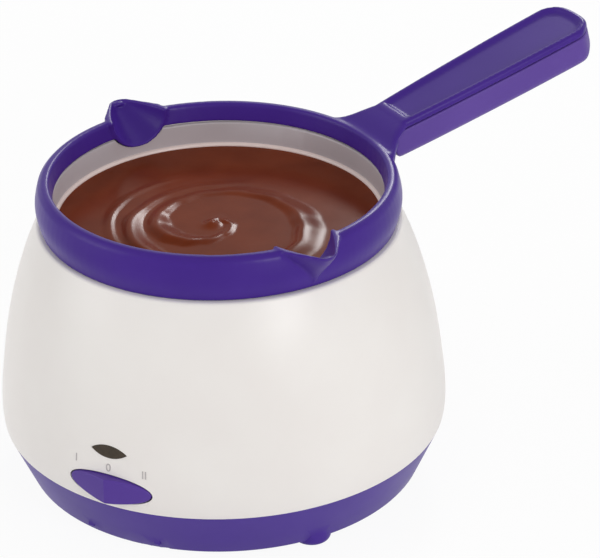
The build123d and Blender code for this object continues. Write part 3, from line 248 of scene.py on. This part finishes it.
say("skins")
smoothSkin("base_cover", "baseSkin", "purpleSatin", "base", "purple_plastic")
smoothSkin("switch_rocker", "rockerSkin", "purpleRocker", "rocker", "purple_gloss")
smoothSkin("indicator_lens", "lensSkin", "lensAmber", "base", "amber_lens")


# Outlines are drawn in the XZ plane, as (radius, height) in mm, closed and spun.
def arc(centre, radii, fromAngle, toAngle, rows):
    angles = [math.radians(fromAngle + (toAngle - fromAngle) * row / rows) for row in range(rows + 1)]
    return [
        (centre[0] + radii[0] * math.cos(angle), centre[1] + radii[1] * math.sin(angle))
        for angle in angles
    ]


def smoothLine(knots, spacing):  # a cubic from knot to knot of (height, radius, lean)
    line = [(knots[0][1], knots[0][0])]
    for (start, fromRadius, fromLean), (end, toRadius, toLean) in zip(knots, knots[1:]):
        span = end - start
        rows = round(abs(span) / spacing)
        for row in range(1, rows + 1):
            t = row / rows
            ends = (2 * t ** 3 - 3 * t ** 2 + 1) * fromRadius + (3 * t ** 2 - 2 * t ** 3) * toRadius
            leans = (t ** 3 - 2 * t ** 2 + t) * fromLean + (t ** 3 - t ** 2) * toLean
            line.append((ends + leans * span, start + t * span))
    return line


def drawOutline(name, outline):
    deselectAll()
    bpy.ops.mesh.primitive_plane_add(size=mm)
    piece = bpy.context.object
    piece.name = piece.data.name = name
    bpy.ops.object.mode_set(mode="EDIT")
    bpy.ops.mesh.select_mode(type="VERT")
    bpy.ops.mesh.select_all(action="SELECT")
    bpy.ops.mesh.merge(type="CENTER")
    radius, height = outline[0]
    bpy.ops.transform.translate(value=(radius * mm, 0, height * mm))
    for (fromRadius, fromHeight), (toRadius, toHeight) in zip(outline, outline[1:]):
        step = ((toRadius - fromRadius) * mm, 0, (toHeight - fromHeight) * mm)
        bpy.ops.mesh.extrude_region_move(TRANSFORM_OT_translate={"value": step})
    bpy.ops.object.mode_set(mode="OBJECT")
    piece.data.vertices[0].select = True  # the last point is selected already
    bpy.ops.object.mode_set(mode="EDIT")
    bpy.ops.mesh.edge_face_add()
    bpy.ops.mesh.select_all(action="SELECT")
    return piece


def spinOutline(name, outline, steps, smooth, mergeGap=0.005):
    piece = drawOutline(name, outline)
    bpy.ops.mesh.spin(steps=steps, angle=2 * math.pi, center=(0, 0, 0), axis=(0, 0, 1))
    bpy.ops.mesh.select_all(action="SELECT")
    bpy.ops.mesh.remove_doubles(threshold=mergeGap * mm)
    bpy.ops.mesh.normals_make_consistent(inside=False)
    bpy.ops.object.mode_set(mode="OBJECT")
    bpy.ops.object.shade_smooth_by_angle(angle=math.radians(smooth))
    return piece


def combine(piece, tool, operation):
    makeActive(piece)
    change = piece.modifiers.new("combine", "BOOLEAN")
    change.operation = operation
    change.solver = "EXACT"
    change.object = tool
    bpy.ops.object.modifier_apply(modifier="combine")
    bpy.data.objects.remove(tool, do_unlink=True)


# Housing: one spun wall, four screw pillars, the rocker's window and the lens's hole.
housing = {
    "steps": 320, "smooth": 28, "spacing": 1.8, "insideSpacing": 4.3,
    "outside": [
        (23.0, 83.8, 0.221), (28.0, 84.3, 0.015), (44.5, 83.09, -0.125), (58.7, 81.11, -0.165),
        (74.0, 77.88, -0.26), (89.13, 73.32, -0.348), (101.59, 68.19, -0.414),
    ],
    "shoulder": ((66.81, 101.0), (1.5, 1.5), 23.1, 90, 6),
    "mouth": [(63.0, 102.5), (63.0, 98.3), (59.9, 98.3), (59.9, 95.8)],
    "underLedge": ((66.81, 93.8), (2.0, 2.0), 90, 23.6, 3),
    "inside": [
        (94.6, 68.64, -0.437), (77.96, 74.35, -0.271), (60.79, 78.23, -0.187), (43.37, 80.71, -0.103),
        (28.0, 81.8, -0.04),
    ],
    "tongue": [(79.49, 26.0), (79.49, 20.5), (81.19, 20.5), (81.19, 23.0)],
}
pillars = {
    "radius": 4.0, "bore": 1.55, "reach": 65.0, "foot": 26.0, "top": 96.4, "depth": 12.5,
    "count": 4, "start": 45, "sides": 48,
}
openings = {
    "window": (17.4, 5.6, 30.8), "windowSides": 128,  # half width, half height and place
    "lens": (14.9, 4.9, 45.3), "lensSides": 256,  # whole length, whole width and place
    "through": 24, "reach": 82,
}
tongueGap = {"halfWidth": 22.2, "radius": 81.6, "near": 62.85, "height": 24.25, "depth": 7.5}


def addPillar(turn):
    height = pillars["top"] - pillars["foot"]
    spot = Vector((
        pillars["reach"] * math.cos(turn), pillars["reach"] * math.sin(turn),
        pillars["foot"] + height / 2))
    deselectAll()
    bpy.ops.mesh.primitive_cylinder_add(
        vertices=pillars["sides"], radius=pillars["radius"] * mm, depth=height * mm, location=spot * mm)
    pillar = bpy.context.object
    bpy.ops.object.transform_apply(location=True)
    bpy.ops.object.mode_set(mode="EDIT")
    bpy.ops.mesh.select_mode(type="FACE")
    bpy.ops.mesh.select_all(action="DESELECT")
    bpy.ops.object.mode_set(mode="OBJECT")
    for face in pillar.data.polygons:
        face.select = face.normal.z < -0.9  # the face that looks down
    bpy.ops.object.mode_set(mode="EDIT")
    bpy.ops.mesh.inset(thickness=(pillars["radius"] - pillars["bore"]) * mm)
    bpy.ops.mesh.extrude_region_move(TRANSFORM_OT_translate={"value": (0, 0, pillars["depth"] * mm)})
    bpy.ops.object.mode_set(mode="OBJECT")
    return pillar


def addFrontCutter(sides, radius, height, scale=(1, 1, 1)):  # a bar through the front wall
    deselectAll()
    bpy.ops.mesh.primitive_cylinder_add(
        vertices=sides, radius=radius, depth=openings["through"] * mm, scale=scale,
        location=(0, -openings["reach"] * mm, height * mm), rotation=(math.radians(90), 0, 0))
    bpy.ops.object.transform_apply(location=True, rotation=True, scale=True)
    return bpy.context.object


def addOvalCutter(halfWidth, halfHeight, height):
    return addFrontCutter(openings["windowSides"], 1, height, (halfWidth * mm, halfHeight * mm, 1))


def addLensCutter(length, width, height):  # where two round discs overlap
    disc = (length ** 2 + width ** 2) / (4 * width)
    lower, upper = [
        addFrontCutter(openings["lensSides"], disc * mm, height + side * (disc - width / 2))
        for side in (-1, 1)
    ]
    combine(lower, upper, "INTERSECT")
    return lower


def addTongueCutter():  # a disc cut off on both sides and behind
    deselectAll()
    bpy.ops.mesh.primitive_cylinder_add(
        vertices=housing["steps"], radius=tongueGap["radius"] * mm, depth=tongueGap["depth"] * mm,
        location=(0, 0, tongueGap["height"] * mm))
    cutter = bpy.context.object
    bpy.ops.object.transform_apply(location=True)
    bpy.ops.object.mode_set(mode="EDIT")
    halfWidth, near = tongueGap["halfWidth"] * mm, tongueGap["near"] * mm
    cuts = (
        ((halfWidth, 0, 0), (1, 0, 0)),
        ((-halfWidth, 0, 0), (-1, 0, 0)),
        ((0, -near, 0), (0, 1, 0)),
    )
    for place, out in cuts:
        bpy.ops.mesh.select_all(action="SELECT")
        bpy.ops.mesh.bisect(plane_co=place, plane_no=out, clear_outer=True, use_fill=True)
    bpy.ops.object.mode_set(mode="OBJECT")
    return cutter


def makeHousing():
    say("housing")
    outline = smoothLine(housing["outside"], housing["spacing"])[:-1] + arc(*housing["shoulder"])
    outline += housing["mouth"] + arc(*housing["underLedge"])
    outline += smoothLine(housing["inside"], housing["insideSpacing"])[1:] + housing["tongue"]
    shell = spinOutline("housingShell", outline, housing["steps"], housing["smooth"])
    for corner in range(pillars["count"]):
        turn = pillars["start"] + corner * 360 / pillars["count"]
        combine(shell, addPillar(math.radians(turn)), "UNION")
    combine(shell, addTongueCutter(), "DIFFERENCE")
    combine(shell, addOvalCutter(*openings["window"]), "DIFFERENCE")
    combine(shell, addLensCutter(*openings["lens"]), "DIFFERENCE")
    makeActive(shell)
    bpy.ops.object.shade_smooth_by_angle(angle=math.radians(housing["smooth"]))
    dress(shell, "shellWhite", "base", "white_plastic", "housing_shell")


makeHousing()

# Soft edges as on a moulding: the copy is remeshed finely and relaxed.
softness = {
    "ring": {"voxel": 0.62, "rounds": 7}, "underside": {"voxel": 0.55, "rounds": 14}, "relax": 0.5,
}
dam = {"size": (1.3, 2.6, 0.9), "place": (76.5, 118.5), "turns": (-30, 150), "segments": 24, "rings": 16}
handle = {
    "turn": 60, "rise": 14, "reach": 66, "height": 123.2,
    "planCentre": (87.3, 3.7), "planRound": (9.8, 0.54), "endCentre": (91.5, -9.0), "endRound": (6.5, 1.0),
}


def addDam(turn):  # closes the end of a channel under the beak's lip
    reach, height = dam["place"]
    deselectAll()
    bpy.ops.mesh.primitive_uv_sphere_add(
        segments=dam["segments"], ring_count=dam["rings"], radius=mm, scale=dam["size"],
        rotation=(0, 0, turn),
        location=(reach * mm * math.cos(turn), reach * mm * math.sin(turn), height * mm))
    bpy.ops.object.transform_apply(location=True, rotation=True, scale=True)
    return bpy.context.object


def cornerShare(first, second, size, strength):  # draws the points of a square corner in
    x, y = first / size, second / size
    return 1 - strength * (1 - math.sqrt(max(0, 1 - x * x * y * y / (x * x + y * y))))


def roundTip(skin):  # the handle's tip gets rounder corners in plan and underneath
    turn, rise = math.radians(handle["turn"]), math.radians(handle["rise"])
    along = Vector((math.cos(rise) * math.cos(turn), math.cos(rise) * math.sin(turn), math.sin(rise)))
    across = Vector((-math.sin(turn), math.cos(turn), 0))
    root = Vector((handle["reach"] * math.cos(turn), handle["reach"] * math.sin(turn), handle["height"]))
    up = along.cross(across)
    for vert in skin.data.vertices:
        spot = vert.co / mm - root
        far, aside, high = spot.dot(along), spot.dot(across), spot.dot(up)
        first, second = far - handle["planCentre"][0], abs(aside) - handle["planCentre"][1]
        if first > 0 and second > 0:
            share = cornerShare(first, second, *handle["planRound"])
            far = handle["planCentre"][0] + first * share
            aside = math.copysign(handle["planCentre"][1] + second * share, aside)
        first, second = far - handle["endCentre"][0], handle["endCentre"][1] - high
        if first > 0 and second > 0:
            share = cornerShare(first, second, *handle["endRound"])
            far = handle["endCentre"][0] + first * share
            high = handle["endCentre"][1] - second * share
        vert.co = (root + along * far + across * aside + up * high) * mm


def soften(node, name, finish, soft, extras=()):
    skin = mergedCopy(node, name)
    for extra in extras:
        extra.select_set(True)
    if extras:
        bpy.ops.object.join()
    skin.data.remesh_voxel_size = soft["voxel"] * mm
    skin.data.use_remesh_preserve_attributes = False
    bpy.ops.object.voxel_remesh()
    roundTip(skin)
    relax = skin.modifiers.new("relax", "SMOOTH")
    relax.factor = softness["relax"]
    relax.iterations = soft["rounds"]
    bpy.ops.object.modifier_apply(modifier="relax")
    bpy.ops.object.shade_smooth()
    dress(skin, finish, "pot", "purple_gloss", node)


say("ring and handle")
dams = [addDam(math.radians(turn)) for turn in dam["turns"]]
soften("rim_ring", "ringSkin", "purpleGloss", softness["ring"], dams)
# The handle underside takes the lighter purple, a painted sheen on its lit side.
soften("handle_underside", "handleUndersideSkin", "purpleHandlePaintedSheen", softness["underside"])

# Pan, and the bead round its wall at the level of the chocolate, coloured pale cream as a painted
# highlight.
smoothSkin("pot_pan", "panSkin", "panCoating", "pot", "grey_aluminium")
panBead = {
    "steps": 256, "smooth": 40, "under": [(61.5, 101.8), (60.4, 101.8)],
    "round": ((61.5, 102.4), (1.35, 1.1), 175, 90, 5),
}


def makePanBead():
    say("pan bead")
    outline = panBead["under"] + arc(*panBead["round"])
    bead = spinOutline("panBead", outline, panBead["steps"], panBead["smooth"])
    bead.data.materials.append(finishes["beadPaintedHighlight"])
    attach(bead, "pot")


makePanBead()


# Chocolate: rings of faces inset from a disc, lifted into the folds of a stirred swirl.
# Each fold is a row of (angle, radius, height, width inside, width outside) about the curl.
chocolate = {
    "radius": 61.2, "level": 102.5, "step": 0.72, "rings": 80, "sides": 240, "sink": 0.25, "skirt": 0.5,
    "curl": (0.5, -6.5), "curlHeight": 1.3, "curlSize": 2.6, "turn": 28.9, "smooth": 50,
}
folds = [
    [
        (480, 2.0, 0.0, 2.0, 2.0), (430, 3.6, 0.6, 2.0, 2.0), (390, 5.2, 0.6, 2.2, 2.4),
        (350, 7.0, 0.4, 2.6, 3.0), (300, 9.0, 0.4, 3.0, 3.2), (260, 13.0, 0.7, 4.0, 4.0),
        (235, 17.0, 1.4, 7.0, 4.0), (210, 19.5, 1.8, 8.4, 4.0), (180, 21.0, 1.6, 7.4, 4.2),
        (150, 21.5, 0.8, 4.4, 4.6), (120, 23.0, 0.4, 3.6, 5.0), (95, 25.5, 0.3, 3.4, 5.5),
        (65, 28.0, 0.5, 3.4, 6.0), (39, 30.0, 0.9, 3.4, 7.0), (6, 32.0, 1.6, 3.4, 9.4),
        (-12, 34.0, 1.7, 3.4, 9.6), (-31, 36.5, 1.4, 3.4, 9.0), (-75, 41.0, 0.0, 3.0, 6.0),
    ],
    [
        (285, 33.0, 0.0, 4.0, 4.0), (240, 33.0, 1.3, 6.8, 3.4), (218, 32.0, 1.6, 7.4, 3.2),
        (181, 30.7, 1.5, 6.8, 3.2), (149, 29.0, 0.7, 4.0, 3.4), (120, 29.6, 0.4, 3.6, 4.0),
        (95, 31.5, 0.3, 3.6, 4.0), (60, 35.5, 0.0, 3.6, 4.0),
    ],
    [
        (250, 38.0, 0.0, 3.0, 3.0), (212, 37.6, 0.4, 2.4, 3.4), (186, 37.6, 0.5, 2.4, 3.4),
        (160, 38.4, 0.5, 2.4, 3.4), (140, 39.0, 0.4, 2.4, 3.0), (100, 41.0, 0.0, 2.4, 3.0),
    ],
]


def foldAt(rows, angle):  # values of one fold at an angle, or nothing outside it
    for before, after in zip(rows, rows[1:]):
        if after[0] <= angle <= before[0]:
            share = (before[0] - angle) / (before[0] - after[0])
            share = share * share * (3 - 2 * share)
            return [a + (b - a) * share for a, b in zip(before[1:], after[1:])]
    return None


def swirlHeight(x, y):
    aside, along = x - chocolate["curl"][0], y - chocolate["curl"][1]
    away = math.hypot(aside, along)
    angle = math.degrees(math.atan2(along, aside)) - chocolate["turn"]
    lift = chocolate["curlHeight"] * math.exp(-((away / chocolate["curlSize"]) ** 2))
    for rows in folds:
        for turn in (-360, 0, 360):
            found = foldAt(rows, angle + turn)
            if found:
                radius, height, inside, outside = found
                width = inside if away < radius else outside
                lift += height * 0.5 * (1 + math.cos(math.pi * min(1, abs(away - radius) / width)))
    return lift - chocolate["sink"]


def makeChocolate():
    say("chocolate")
    deselectAll()
    bpy.ops.mesh.primitive_circle_add(
        vertices=chocolate["sides"], radius=chocolate["radius"] * mm,
        fill_type="NGON", location=(0, 0, chocolate["level"] * mm))
    pool = bpy.context.object
    pool.name = pool.data.name = "chocolatePool"
    bpy.ops.object.transform_apply(location=True)
    bpy.ops.object.mode_set(mode="EDIT")
    bpy.ops.mesh.select_all(action="SELECT")
    for ring in range(chocolate["rings"]):
        bpy.ops.mesh.inset(thickness=chocolate["step"] * mm)
    bpy.ops.mesh.poke()
    bpy.ops.object.mode_set(mode="OBJECT")
    for vert in pool.data.vertices:
        vert.co.z += swirlHeight(vert.co.x / mm, vert.co.y / mm) * mm
    bpy.ops.object.mode_set(mode="EDIT")
    bpy.ops.mesh.select_all(action="DESELECT")
    bpy.ops.mesh.select_mode(type="EDGE")
    bpy.ops.mesh.select_non_manifold()
    bpy.ops.mesh.extrude_region_move(
        TRANSFORM_OT_translate={"value": (0, 0, -chocolate["skirt"] * mm)})
    bpy.ops.mesh.edge_face_add()
    bpy.ops.mesh.select_all(action="SELECT")
    bpy.ops.mesh.normals_make_consistent(inside=False)
    bpy.ops.object.mode_set(mode="OBJECT")
    bpy.ops.object.shade_smooth_by_angle(angle=math.radians(chocolate["smooth"]))
    dress(pool, "chocolateGloss", "pot", "chocolate", "melted_chocolate")


makeChocolate()


# Marks over the rocker: a nought between one bar and two, printed on the shell.
marks = {
    "rows": (("I", "markLow", -1), ("0", "markOff", 0), ("II", "markHigh", 1)),
    "height": 38.9, "reach": 83.76, "size": 4.4, "depth": 0.1, "spread": 9.8, "lean": 6.0,
}


def makeMarks():
    say("marks")
    for text, name, turn in marks["rows"]:
        deselectAll()
        bpy.ops.object.text_add()
        mark = bpy.context.object
        mark.data.body = text
        mark.data.align_x = "CENTER"
        mark.data.align_y = "CENTER"
        mark.data.size = marks["size"] * mm
        mark.data.extrude = marks["depth"] * mm
        bpy.ops.object.convert(target="MESH")
        mark.name = mark.data.name = name
        upright = Matrix.Rotation(math.radians(90 - marks["lean"]), 4, "X")
        out = Matrix.Translation((0, -marks["reach"] * mm, marks["height"] * mm))
        mark.data.transform(Matrix.Rotation(math.radians(turn * marks["spread"]), 4, "Z") @ out @ upright)
        mark.data.materials.clear()
        mark.data.materials.append(finishes["printGrey"])
        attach(mark, "base")


makeMarks()

# Camera, at the photo's place and lens.
camera = {
    "place": (536.8, -911.3, 641.3), "lens": 192, "sensor": 36, "clip": (0.05, 20),
    "tilt": 61.85, "turn": 28.9, "roll": -0.88,
}


def makeCamera():
    say("camera")
    eye = bpy.data.objects.new("photoCamera", bpy.data.cameras.new("photoCamera"))
    bpy.context.scene.collection.objects.link(eye)
    eye.data.lens = camera["lens"]
    eye.data.sensor_width = camera["sensor"]
    eye.data.clip_start, eye.data.clip_end = camera["clip"]
    eye.location = Vector(camera["place"]) * mm
    turned = Matrix.Rotation(math.radians(camera["turn"]), 3, "Z")
    tilted = Matrix.Rotation(math.radians(camera["tilt"]), 3, "X")
    rolled = Matrix.Rotation(math.radians(camera["roll"]), 3, "Z")
    eye.rotation_euler = (turned @ tilted @ rolled).to_euler()
    bpy.context.scene.camera = eye
    bpy.context.scene.view_settings.view_transform = "Standard"


makeCamera()

# Floor, sky and lamps. The floor and the sky show white and light the part less than they show.
studio = {
    "floorGlow": 0.93, "floorSize": 12, "floorDrop": 0.2, "floorTone": (0.9, 0.9, 0.9, 1),
    "floorRough": 0.8, "skyLight": 0.41, "aim": (0, 0, 0.07),
}
lamps = {
    "keyRight": {"place": (1.35, -0.6, 0.6), "size": 0.5, "power": 10},
    "fillLeft": {"place": (-1.2, -1.0, 0.65), "size": 1.0, "power": 9},
    "topBack": {"place": (0.1, 0.9, 1.3), "size": 1.0, "power": 1},
    "lowBack": {"place": (-0.42, 1.34, 0.88), "size": 0.26, "power": 7},
}


def seenRays(tree, share):  # camera, glossy and transmission rays, times a share
    path = tree.nodes.new("ShaderNodeLightPath")
    total = path.outputs["Is Camera Ray"]
    for ray in ("Is Glossy Ray", "Is Transmission Ray"):
        both = tree.nodes.new("ShaderNodeMath")
        both.operation = "ADD"
        both.use_clamp = True
        tree.links.new(total, both.inputs[0])
        tree.links.new(path.outputs[ray], both.inputs[1])
        total = both.outputs["Value"]
    part = tree.nodes.new("ShaderNodeMath")
    part.operation = "MULTIPLY"
    part.inputs[1].default_value = share
    tree.links.new(total, part.inputs[0])
    return part.outputs["Value"]


def mixBySight(tree, share, lit, seen, target):
    mix = tree.nodes.new("ShaderNodeMixShader")
    tree.links.new(seenRays(tree, share), mix.inputs["Fac"])
    tree.links.new(lit, mix.inputs[1])
    tree.links.new(seen, mix.inputs[2])
    tree.links.new(mix.outputs["Shader"], target)


def makeFloor():
    deselectAll()
    bpy.ops.mesh.primitive_plane_add(size=studio["floorSize"], location=(0, 0, -studio["floorDrop"] * mm))
    floor = bpy.context.object
    floor.name = "paleFloor"
    mat = bpy.data.materials.new("paleFloor")
    mat.use_nodes = True
    tree = mat.node_tree
    shader = tree.nodes["Principled BSDF"]
    shader.inputs["Base Color"].default_value = studio["floorTone"]
    shader.inputs["Roughness"].default_value = studio["floorRough"]
    glow = tree.nodes.new("ShaderNodeEmission")
    glow.inputs["Color"].default_value = white
    glow.inputs["Strength"].default_value = 1
    surface = tree.nodes["Material Output"].inputs["Surface"]
    mixBySight(tree, studio["floorGlow"], shader.outputs["BSDF"], glow.outputs["Emission"], surface)
    floor.data.materials.append(mat)


def makeSky():
    world = bpy.data.worlds.new("studio")
    bpy.context.scene.world = world
    world.use_nodes = True
    tree = world.node_tree
    lit = tree.nodes["Background"]
    lit.inputs["Color"].default_value = white
    lit.inputs["Strength"].default_value = studio["skyLight"]
    seen = tree.nodes.new("ShaderNodeBackground")
    seen.inputs["Color"].default_value = white
    seen.inputs["Strength"].default_value = 1
    surface = tree.nodes["World Output"].inputs["Surface"]
    mixBySight(tree, 1, lit.outputs["Background"], seen.outputs["Background"], surface)


def addLamp(name, lamp):
    light = bpy.data.lights.new(name, "AREA")
    light.energy = lamp["power"]
    light.size = lamp["size"]
    holder = bpy.data.objects.new(name, light)
    bpy.context.scene.collection.objects.link(holder)
    holder.location = lamp["place"]
    aim = Vector(studio["aim"]) - Vector(lamp["place"])
    holder.rotation_euler = aim.to_track_quat("-Z", "Y").to_euler()


say("floor, sky and lamps")
makeFloor()
makeSky()
for name, lamp in lamps.items():
    addLamp(name, lamp)

say("sizes")
